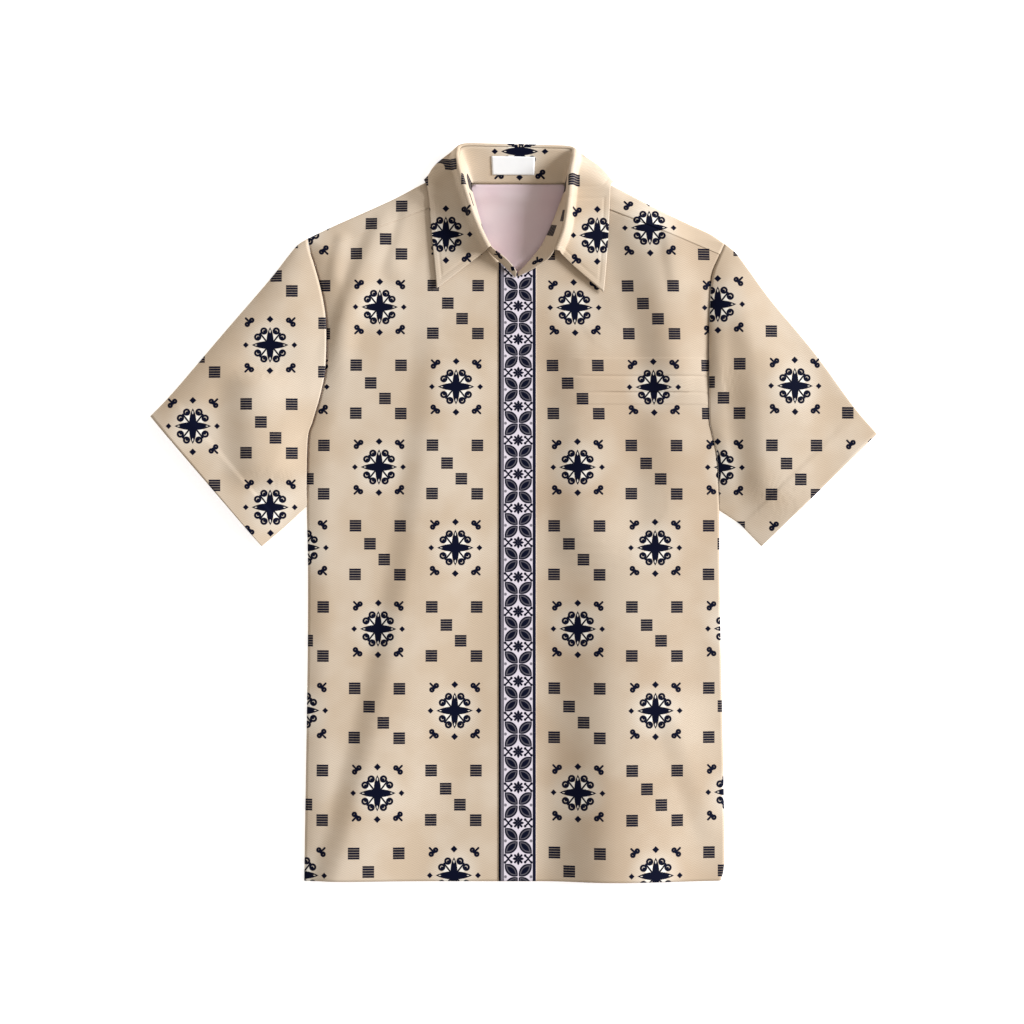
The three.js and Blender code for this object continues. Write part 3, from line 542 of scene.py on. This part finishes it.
def band_group():
    """The placket's border as a node group: four-petal flowers with an eight-dot rosette between them."""
    tree = bpy.data.node_groups.new("petal band", "ShaderNodeTree")
    tree.interface.new_socket("Place", in_out="INPUT", socket_type="NodeSocketVector")
    tree.interface.new_socket("Dye", in_out="OUTPUT", socket_type="NodeSocketFloat")
    tree.interface.new_socket("Pale", in_out="OUTPUT", socket_type="NodeSocketFloat")
    source = tree.nodes.new("NodeGroupInput")
    result = tree.nodes.new("NodeGroupOutput")
    period = 38.3
    x = put(tree, "ShaderNodeSeparateXYZ", source.outputs[0], out=0)
    y = put(tree, "ShaderNodeSeparateXYZ", source.outputs[0], out=1)
    up = put(tree, MATH, y, period / 2, operation="PINGPONG")
    side = put(tree, MATH, x, operation="ABSOLUTE")
    at = put(tree, "ShaderNodeCombineXYZ", side, up, 0.0)
    lengthways = put(tree, VECTOR, at, (0.747, 0.665, 0), operation="DOT_PRODUCT", out=1)
    crossways = put(tree, MATH, put(tree, VECTOR, at, (0.665, -0.747, 0), operation="DOT_PRODUCT", out=1),
                    operation="ABSOLUTE")
    middle = put(tree, MATH, lengthways, 10.5, operation="SUBTRACT")
    petal = lens(tree, middle, crossways, 9.7, 5.5, 2.3)
    outline = put(tree, MATH, put(tree, MATH, put(tree, MATH, petal, 1.0, operation="ADD"), operation="ABSOLUTE"),
                  1.0, operation="SUBTRACT")
    core = lens(tree, put(tree, MATH, middle, 0.3, operation="ADD"), crossways, 6.6, 2.7)
    far = put(tree, MATH, period / 2, up, operation="SUBTRACT")
    small = put(tree, "ShaderNodeCombineXYZ", side, far, 0.0)
    shapes = [
        outline,
        core,
        lens(tree, put(tree, MATH, far, 3.9, operation="SUBTRACT"), side, 3.0, 1.5),
        lens(tree, put(tree, MATH, side, 3.7, operation="SUBTRACT"), far, 2.8, 1.5),
        stroke(tree, small, (1.6, 1.6, 0), (3.7, 3.7, 0), 1.2),
        dot(tree, small, (0, 0, 0), 1.5),
        stroke(tree, small, (11.1, 0.3, 0), (14.4, 3.6, 0), 0.95),
        stroke(tree, small, (11.1, 0.3, 0), (7.9, 3.2, 0), 0.95),
        dot(tree, small, (14.7, 3.9, 0), 1.5),
        dot(tree, small, (7.7, 3.5, 0), 1.5),
        put(tree, MATH, 16.1, side, operation="SUBTRACT"),
    ]
    marks = put(tree, MATH, 1.0, band(tree, dot(tree, at, (14.3, 0, 0), 1.6), -0.6, 0.6), operation="SUBTRACT")
    tint = put(tree, MATH, 1.0, band(tree, petal, -1.4, -1.0), operation="SUBTRACT")
    lines = put(tree, MATH, 1.0, band(tree, union(tree, shapes), -0.28, 0.28), operation="SUBTRACT")
    shade = put(tree, MATH, put(tree, MATH, tint, 0.86, operation="MULTIPLY"),
                put(tree, MATH, marks, 0.75, operation="MULTIPLY"), operation="MAXIMUM")
    dye = put(tree, MATH, lines, shade, operation="MAXIMUM")
    stripe = put(tree, MATH, band(tree, x, -19.7, -19.2), band(tree, x, -16.8, -16.4), operation="SUBTRACT")
    dye = put(tree, MATH, dye, put(tree, MATH, stripe, 0.26, operation="MULTIPLY"), operation="SUBTRACT")
    edge = put(tree, MATH, 1.0, band(tree, x, 19.5, 19.9), operation="SUBTRACT")
    tree.links.new(put(tree, MATH, dye, edge, operation="MULTIPLY"), result.inputs[0])
    tree.links.new(edge, result.inputs[1])
    return tree


def weave(tree, place, amount):
    """The cloth's zigzag weave: a wave across rows that are bent back and forth every few millimetres, drawn a
    little coarser than the real one so that it shows. Returns it between 0 and 1, and its bump."""
    x = put(tree, "ShaderNodeSeparateXYZ", place, out=0)
    y = put(tree, "ShaderNodeSeparateXYZ", place, out=1)
    zig = put(tree, MATH, x, 3.2, operation="PINGPONG")
    phase = put(tree, MATH, put(tree, MATH, zig, 0.75, y, operation="MULTIPLY_ADD"), 2 * np.pi / 2.6,
                operation="MULTIPLY")
    wave = put(tree, MATH, put(tree, MATH, phase, operation="SINE"), 0.5, 0.5, operation="MULTIPLY_ADD")
    bump = put(tree, "ShaderNodeBump", amount, 0.0003, wave)
    node = bump.node
    node.inputs["Strength"].default_value = amount
    node.inputs["Distance"].default_value = 0.00012
    for link in list(tree.links):
        if link.to_node == node:
            tree.links.remove(link)
    tree.links.new(wave, node.inputs["Height"])
    return wave, bump


def cloth_material(name, look, group, style):
    """A printed or plain cotton with a soft sheen. Its colour is the ground, mottled by two scales of noise and the
    weave, with the dye over it."""
    material = bpy.data.materials.new(name)
    material.use_nodes = True
    tree = material.node_tree
    tree.nodes.clear()
    shader = tree.nodes.new("ShaderNodeBsdfPrincipled")
    output = tree.nodes.new("ShaderNodeOutputMaterial")
    tree.links.new(shader.outputs[0], output.inputs[0])
    place = put(tree, "ShaderNodeUVMap", uv_map="print")
    solid_place = put(tree, "ShaderNodeTexCoord", out=3)
    wave, bump = weave(tree, place, style["bump"])
    cloud = put(tree, "ShaderNodeTexNoise", solid_place, noise_dimensions="3D")
    cloud.node.inputs["Scale"].default_value = style["cloud_scale"]
    cloud.node.inputs["Detail"].default_value = 3.0
    share = band(tree, cloud, 0.36, 0.66)
    ground = put(tree, MIX, share, data_type="RGBA", out=2)
    ground.node.inputs[6].default_value = linear(style["deep"])
    ground.node.inputs[7].default_value = linear(style["ground"])
    flecked = put(tree, MIX, None, data_type="RGBA", blend_type="MULTIPLY", out=2)
    flecked.node.inputs[0].default_value = 1.0
    tree.links.new(ground, flecked.node.inputs[6])
    tint = put(tree, "ShaderNodeMapRange", wave, 0.0, 1.0, style["fleck"], 1.0)
    tree.links.new(tint, flecked.node.inputs[7])
    colour = flecked
    if group:
        repeat = tree.nodes.new("ShaderNodeGroup")
        repeat.node_tree = group
        tree.links.new(place, repeat.inputs[0])
        lighter = put(tree, MIX, repeat.outputs["Pale"], data_type="RGBA", out=2)
        tree.links.new(colour, lighter.node.inputs[6])
        lighter.node.inputs[7].default_value = linear(style["pale"])
        colour = lighter
        dyed = put(tree, MIX, None, data_type="RGBA", out=2)
        tree.links.new(repeat.outputs["Dye"], dyed.node.inputs[0])
        tree.links.new(colour, dyed.node.inputs[6])
        dyed.node.inputs[7].default_value = linear(style["dye"])
        colour = dyed
    tree.links.new(colour, shader.inputs["Base Color"])
    tree.links.new(bump, shader.inputs["Normal"])
    shader.inputs["Roughness"].default_value = style["roughness"]
    shader.inputs["Sheen Weight"].default_value = style["sheen"]
    shader.inputs["Sheen Roughness"].default_value = 0.45
    shader.inputs["Specular IOR Level"].default_value = 0.08
    return material


def build_materials(props):
    """Makes the shirt's finishes once, from the colours in the panel."""
    repeat = print_group()
    border = band_group()
    warm = {"bump": 0.5, "cloud_scale": 11.0, "fleck": 0.9, "roughness": 0.68, "sheen": 0.03,
            "ground": props.ground, "deep": props.ground_deep, "dye": props.dye, "pale": props.pale}
    plain = dict(warm, ground="#DCCBCD", deep="#D6BEC2", fleck=0.98, bump=0.2)
    return {
        # Cotton sateen, resist-dyed: a warm mottled ground with crisp dark blue motifs and a soft lustre.
        "batik": cloth_material("batik cotton, resist printed", warm, repeat, warm),
        # The same cotton with a deeper, browner ground for the left front and its pocket lip: painted shade that
        # darkens that whole panel.
        "batik_left_shaded": cloth_material("batik cotton, painted darker as shade", dict(warm), repeat,
                                     dict(warm, ground=props.left_shaded_ground, deep=props.left_shaded_deep)),
        # The same cotton in the border print: near-white ground between dark edge stripes.
        "band": cloth_material("batik cotton, border print", warm, border, dict(warm, pale=props.border)),
        # The unprinted reverse: pale and slightly pink, with less lustre.
        "reverse": cloth_material("batik cotton, plain reverse", plain, None, plain),
        # Woven satin tape: bright white and smooth.
        "tape": cloth_material("label tape, woven satin", plain, None,
                               dict(plain, ground="#FFFFFF", deep="#FAFAF8", bump=0.1, roughness=0.4)),
    }


MATERIALS = {}


def finish(*names):
    """The finishes of that name, made the first time that one is wanted."""
    if not MATERIALS:
        MATERIALS.update(build_materials(bpy.context.scene.shirt_looks))
    return [MATERIALS[name] for name in names]


# ---------- the pieces ----------
def back_grid(columns, rows):
    """The back panel: straight rows from side to side, flat on the table."""
    y = np.linspace(HEM_Y, BACK_YOKE_SEAM_Y, rows)
    low = np.stack([side_x(SIDE_R, y), y], axis=1)
    high = np.stack([side_x(SIDE_L, y), y], axis=1)
    return raised(ruled(low, high, rows, columns), back_middle)


def front_grid(keys, side, columns, cell, height, fine=None):
    """A front: rows ruled from the side seam and armhole to the front edge and neck seam, closer together between
    the two heights called fine."""
    keys = np.asarray(keys, float)
    lengths = (np.abs(np.diff(keys[:, 0])) + np.abs(np.diff(keys[:, 2]))) / 2
    at = np.concatenate([[0], np.cumsum(lengths)])
    if fine:
        stops = [0, *np.interp(fine, keys[:, 2], at), at[-1]]
        parts = [np.linspace(a, b, int((b - a) / step)) for a, b, step in zip(stops, stops[1:], (cell, 0.7, cell))]
        t = np.unique(np.concatenate(parts))
    else:
        t = np.linspace(0, at[-1], int(at[-1] / cell))
    side_y, inner_x, inner_y = (np.interp(t, at, keys[:, k]) for k in range(3))
    low = np.stack([side_x(side, side_y), side_y], axis=1)
    high = np.stack([inner_x, inner_y], axis=1)
    return raised(ruled(low, high, len(t), columns), height)


def placket_grid(columns, rows):
    """The placket: a straight band one layer above the front edge, cut to the neck at the top."""
    x = np.linspace(PLACKET_LEFT, PLACKET_RIGHT, columns)
    top = np.interp(x, [PLACKET_LEFT, 5.7, PLACKET_RIGHT], [280.5, 266.5, 287.5])
    t = np.linspace(0, 1, rows)[:, None]
    plan = np.dstack([np.broadcast_to(x, (rows, columns)), mix(HEM_Y, top, t)])
    return raised(plan, lambda a, b: front_middle(a, b) + CLOTH + 0.1)


def shoulder_grid(seam, fold, columns):
    """A shoulder of the yoke: up the front from its seam, round the fold in a half circle, and back beneath."""
    share = np.linspace(0, 1, columns)
    a = along(smooth(seam), share)
    b = along(fold, share)
    reach = np.linalg.norm(b - a, axis=1)
    bend = LAYER / 2
    turn = 1 - (bend + CLOTH / 2) / reach
    rows = []
    for u in np.linspace(0, 1, 16):
        plan = mix(a, b, (u * turn - (1 - u) * 2 / reach)[:, None])
        rows.append(np.column_stack([plan, front_middle(*plan.T) + 0.45 * (1 - u) ** 4]))
    for angle in np.radians([30, 60, 90, 120, 150]):
        plan = mix(a, b, (turn + bend * np.sin(angle) / reach)[:, None])
        rows.append(np.column_stack([plan, back_middle(*plan.T) + bend * (1 + np.cos(angle))]))
    for u in np.linspace(1, 0, 8):
        plan = mix(a, b, (turn * u)[:, None])
        rows.append(np.column_stack([plan, back_middle(*plan.T)]))
    return np.stack(rows)


def yoke_back_grid(columns, rows):
    """The flat part of the yoke, from the back seam to the shoulders and the back neck."""
    right = along(smooth(RIGHT_YOKE_SEAM), np.linspace(0, 1, columns))
    left = along(smooth(LEFT_YOKE_SEAM), np.linspace(0, 1, columns))
    neck = np.column_stack([np.linspace(-45.5, 56, columns), np.full(columns, BACK_NECK_Y)])
    top = np.vstack([right, neck, left])
    foot_x = np.clip(top[:, 0], side_x(SIDE_R, BACK_YOKE_SEAM_Y), side_x(SIDE_L, BACK_YOKE_SEAM_Y))
    foot = np.column_stack([foot_x, np.full(len(top), BACK_YOKE_SEAM_Y + GAP)])
    return raised(ruled(foot, top, len(top), rows), back_middle)


def sleeve_grid(spec, stations, around):
    """A flat tube. In plan it is the patch between its four edges: the sum of the two ruled surfaces less the plane
    through the corners. Sections run from the top fold to the one below, over and back."""
    top, under = smooth(spec["top"]), smooth(spec["under"])
    arm_y = np.linspace(top[0, 1], under[0, 1], 200)
    arm = np.column_stack([side_x(smooth(spec["side"]), arm_y) + spec["away"] * ARMHOLE_GAP, arm_y])
    s = np.linspace(0, 1, stations)[:, None]
    bend = LAYER / 2
    width = np.linalg.norm(along(top, s[:, 0]) - along(under, s[:, 0]), axis=1)[:, None]
    inset = (bend + CLOTH / 2) / width
    flat = mix(inset, 1 - inset, np.linspace(0, 1, around)[None, :])
    turn = np.radians([30, 60, 90, 120, 150])
    crease = CLOTH / 2 / width + (bend * (1 - np.sin(turn))[None, :]) / width
    u = np.hstack([flat, 1 - crease, flat[:, ::-1], crease])
    s = np.broadcast_to(s, u.shape)

    def plan(s, u):
        a, t, b = along(arm, u), along(top, s), along(under, s)
        s, u = s[..., None], u[..., None]
        cuff = mix(top[-1], under[-1], u)
        return mix(a, cuff, s) + mix(t, b, u) - mix(mix(top[0], under[0], u), cuff, s)

    p = plan(s, u)
    from_fold = np.minimum(u - inset, 1 - inset - u) * width
    from_arm = np.linalg.norm(p - plan(np.zeros_like(u), u), axis=2)
    rise = roll(from_fold / spec["roll"]) * roll(from_arm / spec["armhole_roll"] + spec["armhole_rise"])
    along_cuff = (under[-1] - top[-1]) / np.linalg.norm(under[-1] - top[-1])
    from_cuff = np.abs((p - top[-1]) @ np.array([-along_cuff[1], along_cuff[0]]))
    hem = 0.8 * soft((HEM_TURN - from_cuff) / 4)
    upper = WALL / 2 + LAYER + (spec["loft"] + fold_height(p[..., 0], p[..., 1]) + hem) * rise
    low = np.full((stations, around), WALL / 2)
    round_up = WALL / 2 + bend * (1 - np.cos(turn)) + np.zeros((stations, 1))
    z = np.hstack([low, round_up, upper[:, around + 5 : 2 * around + 5], round_up[:, ::-1]])
    return np.dstack([p, z])


def stand_at(station, share):
    """Points of the collar stand's middle surface."""
    at = np.arange(len(STAND))
    rows = [np.interp(station, at, STAND[:, k]) for k in range(6)]
    foot, top = np.stack(rows[:3], axis=-1), np.stack(rows[3:], axis=-1)
    return mix(foot, top, share[..., None])


STAND_FINE = smooth(STAND, 220)


def stand_grid(rows):
    """The collar stand: straight from the neck seam to the top edge all the way round."""
    share = np.linspace(0, 1, rows)[None, :, None]
    return mix(STAND_FINE[:, None, :3], STAND_FINE[:, None, 3:], share)


def leaf_grid(sections, steps):
    """The collar leaf: from the stand's top edge, over the roll and along a cubic curve to its edge. It drops beside
    the roll and then lies nearly flat."""
    table = np.hstack([STAND[LEAF_FIRST : LEAF_FIRST + len(LEAF)], LEAF])
    rows = smooth(table, sections)
    foot, top, bulge, edge = (rows[:, k : k + 3] for k in (0, 3, 6, 9))
    up = top - foot
    up /= np.linalg.norm(up, axis=1)[:, None]
    run = np.gradient(top, axis=0)
    out = np.cross(up, run)
    out /= np.linalg.norm(out, axis=1)[:, None]
    turn = [top + up * lift + out * reach for lift, reach in LEAF_ROLL]
    settle = mix(bulge, edge, 0.5)
    t = np.linspace(0, 1, steps)[None, :, None]
    start = turn[-1][:, None]
    curve = (1 - t) ** 3 * start + 3 * (1 - t) ** 2 * t * bulge[:, None]
    curve += 3 * (1 - t) * t**2 * settle[:, None] + t**3 * edge[:, None]
    gone = np.linalg.norm(np.diff(curve[..., :2], axis=1), axis=2)
    gone = np.concatenate([np.zeros((len(curve), 1)), np.cumsum(gone, axis=1)], axis=1)
    lying = mix(bulge[:, None, 2], edge[:, None, 2], gone / gone[:, -1:])
    curve[..., 2] = mix(start[..., 2], lying, soft(gone / LEAF_DROP))
    coarse = np.concatenate([np.stack(turn, axis=1), curve[:, 1:]], axis=1)
    grid = np.stack([smooth(section, steps + 12) for section in coarse])
    rim = np.concatenate([grid[0, 8:, :2], grid[:, -1, :2], grid[-1, 8:, :2]])
    from_rim = np.linalg.norm(grid[:, :, None, :2] - rim[None, None], axis=3).min(axis=2)
    top_side = soft((grid[..., 2] - 3) / 4)
    grid[..., 2] -= 0.45 * top_side * np.exp(-(((from_rim - TOPSTITCH) / 1.1) ** 2))
    return grid


class ShirtLooks(bpy.types.PropertyGroup):
    """The colours and sizes that a user would change."""

    ground: bpy.props.StringProperty(name="Ground", description="Lighter tone of the cloth, sRGB hex", default="#D9C8B2")
    ground_deep: bpy.props.StringProperty(
        name="Deep ground", description="Deeper tone that mottles the ground, sRGB hex", default="#CDB89E")
    # The left front's two tones are darker than the rest of the cloth: painted shade over that whole panel.
    left_shaded_ground: bpy.props.StringProperty(
        name="Left ground", description="Lighter tone of the left front's cloth, sRGB hex", default="#D0BEA7")
    left_shaded_deep: bpy.props.StringProperty(
        name="Left deep ground", description="Deeper tone of the left front's cloth, sRGB hex", default="#C5AF95")
    dye: bpy.props.StringProperty(name="Dye", description="Colour of the motifs, sRGB hex", default="#02061F")
    pale: bpy.props.StringProperty(
        name="Pale ground", description="Paler ground round and inside the rosettes, sRGB hex", default="#F0EADD")
    border: bpy.props.StringProperty(name="Border ground", description="Ground of the border, sRGB hex", default="#DFD6DE")
    cell: bpy.props.FloatProperty(
        name="Cell", description="Spacing of the points that a cloth surface is worked out on",
        default=0.003, min=0.002, unit="LENGTH")
    key_power: bpy.props.FloatProperty(name="Key light", description="Strength of the soft, low key light", default=5.2)


class SHIRT_OT_stage(bpy.types.Operator):
    """Set the camera, the floor and the light"""

    bl_idname = "shirt.stage"
    bl_label = "Stage"

    def execute(self, context):
        scene = context.scene
        camera = bpy.data.objects.new("camera", bpy.data.cameras.new("camera"))
        scene.collection.objects.link(camera)
        camera.data.lens = 100
        camera.data.sensor_width = 36
        width = 1.1469
        camera.location = (-0.0017, 0.0008, width * 100 / 36)
        scene.camera = camera
        scene.view_settings.view_transform = "Standard"
        world = bpy.data.worlds.new("studio")
        world.use_nodes = True
        world.node_tree.nodes["Background"].inputs[0].default_value = (1, 0.94, 0.88, 1)
        world.node_tree.nodes["Background"].inputs[1].default_value = 0.46
        scene.world = world
        floor = bpy.data.meshes.new("floor")
        floor.from_pydata([(-4, -4, -0.0004), (4, -4, -0.0004), (4, 4, -0.0004), (-4, 4, -0.0004)], [], [(0, 1, 2, 3)])
        paper = bpy.data.materials.new("studio paper, matte white")
        paper.use_nodes = True
        shader = paper.node_tree.nodes["Principled BSDF"]
        shader.inputs["Base Color"].default_value = linear("#FFFFFF")
        shader.inputs["Roughness"].default_value = 0.9
        shader.inputs["Emission Color"].default_value = linear("#FFFFFF")
        shader.inputs["Emission Strength"].default_value = 0.6
        floor.materials.append(paper)
        piece = bpy.data.objects.new("floor", floor)
        scene.collection.objects.link(piece)
        lamp = bpy.data.lights.new("key", "SUN")
        lamp.angle = 0.35
        lamp.energy = scene.shirt_looks.key_power
        lamp.color = (0.965, 1.0, 1.07)
        light = bpy.data.objects.new("key", lamp)
        light.rotation_euler = (0, np.radians(90 - 23), np.radians(14))
        scene.collection.objects.link(light)
        return {"FINISHED"}


class SHIRT_OT_body(bpy.types.Operator):
    """Sew the back, the fronts, the placket and the yoke"""

    bl_idname = "shirt.body"
    bl_label = "Body"

    def execute(self, context):
        cell = context.scene.shirt_looks.cell / MM
        inside = finish("batik", "reverse")
        tall = int(670 / cell)
        wide = int(235 / cell)
        back = back_grid(2 * wide, tall)
        cloth_piece("back_panel", [(back, print_on_right(back), CLOTH, False, True)], inside,
                    "back")
        right = front_grid(RIGHT_FRONT_ROWS, SIDE_R, wide, cell, front_middle)
        cloth_piece("front_panel_right", [(right, print_on_right(right), CLOTH, False, False)], inside,
                    "front_right")
        left = front_grid(LEFT_FRONT_ROWS, SIDE_L, wide, cell, lambda a, b: front_middle(a, b) + pocket_relief(a, b),
                          fine=(112, 182))
        # The left front takes the darker cloth: painted shade over the whole panel.
        cloth_piece("front_panel_left", [(left, print_on_left(left), CLOTH, False, True)],
                    finish("batik_left_shaded", "reverse"), "front_left")
        strip = placket_grid(15, int(700 / cell))
        uv = np.stack([strip[..., 0] - 5.3, drawn_out(strip[..., 1] - 249.7, 1.033, 6.3e-5)], axis=-1)
        cloth_piece("placket_band", [(strip, uv, CLOTH, False, False)], finish("band", "reverse"),
                    "placket")
        flat = yoke_back_grid(24, 30)
        shoulder_r = shoulder_grid(RIGHT_YOKE_SEAM, SHOULDER_R, wide)
        shoulder_l = shoulder_grid(LEFT_YOKE_SEAM, SHOULDER_L, wide)
        cloth_piece("yoke_panel", [
            (flat, print_on_right(flat), CLOTH, False, False),
            (shoulder_r, print_on_right(shoulder_r), CLOTH, False, False),
            (shoulder_l, print_on_left(shoulder_l), CLOTH, False, False),
        ], inside, "yoke")
        return {"FINISHED"}


class SHIRT_OT_sleeves(bpy.types.Operator):
    """Sew the two short sleeves"""

    bl_idname = "shirt.sleeves"
    bl_label = "Sleeves"

    def execute(self, context):
        cell = context.scene.shirt_looks.cell / MM
        for name, spec in SLEEVES.items():
            grid = sleeve_grid(spec, int(240 / cell), int(240 / cell))
            uv = print_on(grid, *spec["print"])
            cloth_piece(name + "_tube", [(grid, uv, CLOTH, True, spec["away"] > 0)], finish("batik", "reverse"),
                        name)
        return {"FINISHED"}


class SHIRT_OT_collar(bpy.types.Operator):
    """Sew the collar stand, its leaf and the blank label"""

    bl_idname = "shirt.collar"
    bl_label = "Collar"

    def execute(self, context):
        stand = stand_grid(14)
        run = np.linalg.norm(np.gradient(STAND_FINE[:, :3], axis=0), axis=1)
        place = np.cumsum(run)
        place -= np.interp(0, STAND_FINE[80:150, 0], place[80:150])
        height = np.linalg.norm(stand - stand[:, :1], axis=2)
        uv = np.dstack([np.broadcast_to(place[:, None], height.shape) - 6.7, height - 36.0])
        cloth_piece("collar_stand_band", [(stand, uv, CLOTH, False, False)], finish("batik", "batik"),
                    "collar_stand")
        leaf = leaf_grid(280, 44)
        inward = leaf[:, 4, :2] - leaf[:, -1, :2]
        inward /= np.linalg.norm(inward, axis=1)[:, None]
        steps = np.linalg.norm(np.diff(leaf[:, ::-1, :2], axis=1), axis=2)
        reach = np.concatenate([np.zeros((len(leaf), 1)), np.cumsum(steps, axis=1)], axis=1)[:, ::-1]
        flat = leaf[:, -1:, :2] + inward[:, None] * reach[..., None]
        on_right = flat[..., 0] > 5
        uv = np.where(on_right[..., None], print_on(flat, 93.5, 309.6), print_on(flat, -75.5, 310.7))
        cloth_piece("collar_leaf", [(leaf, uv, CLOTH, False, False)], finish("batik", "batik"),
                    "collar_fall")
        station = np.linspace(11.05, 12.6, 24)[:, None]
        share = np.linspace(0.24, 0.75, 12)[None, :]
        label = stand_at(*np.broadcast_arrays(station, share))
        label = label - grid_normals(label, False) * 0.9
        uv = label[..., :2]
        cloth_piece("neck_label_tape", [(label, uv, 0.4, False, True)], finish("tape", "tape"),
                    "neck_label")
        return {"FINISHED"}


class SHIRT_OT_pocket(bpy.types.Operator):
    """Sew the lip of the chest pocket"""

    bl_idname = "shirt.pocket"
    bl_label = "Pocket"

    def execute(self, context):
        x = np.linspace(POCKET["left"], POCKET["right"], 100)
        y = np.linspace(POCKET["bottom"], POCKET["top"], 30)
        plan = np.dstack(np.meshgrid(x, y))
        grid = raised(plan, lip_height)
        # The lip takes the left front's darker cloth, painted shade as on the panel.
        cloth_piece("pocket_lip", [(grid, print_on_left(grid), CLOTH, False, False)],
                    finish("batik_left_shaded", "reverse"), "pocket_welt")
        return {"FINISHED"}


class SHIRT_PT_panel(bpy.types.Panel):
    """The shirt's looks and the steps that sew it"""

    bl_idname = "SHIRT_PT_panel"
    bl_label = "Shirt"
    bl_space_type = "VIEW_3D"
    bl_region_type = "UI"
    bl_category = "Shirt"

    def draw(self, context):
        for key in ("ground", "ground_deep", "left_shaded_ground", "left_shaded_deep", "dye", "pale", "border", "cell", "key_power"):
            self.layout.prop(context.scene.shirt_looks, key)
        for step in STEPS:
            self.layout.operator(step.bl_idname)


STEPS = (SHIRT_OT_stage, SHIRT_OT_body, SHIRT_OT_sleeves, SHIRT_OT_collar, SHIRT_OT_pocket)
CLASSES = (ShirtLooks, *STEPS, SHIRT_PT_panel)


def register():
    for item in CLASSES:
        bpy.utils.register_class(item)
    bpy.types.Scene.shirt_looks = bpy.props.PointerProperty(type=ShirtLooks)


def unregister():
    del bpy.types.Scene.shirt_looks
    for item in reversed(CLASSES):
        bpy.utils.unregister_class(item)


def main():
    register()
    bpy.ops.shirt.stage()
    bpy.ops.shirt.body()
    bpy.ops.shirt.sleeves()
    bpy.ops.shirt.collar()
    bpy.ops.shirt.pocket()


if __name__ == "__main__":
    main()
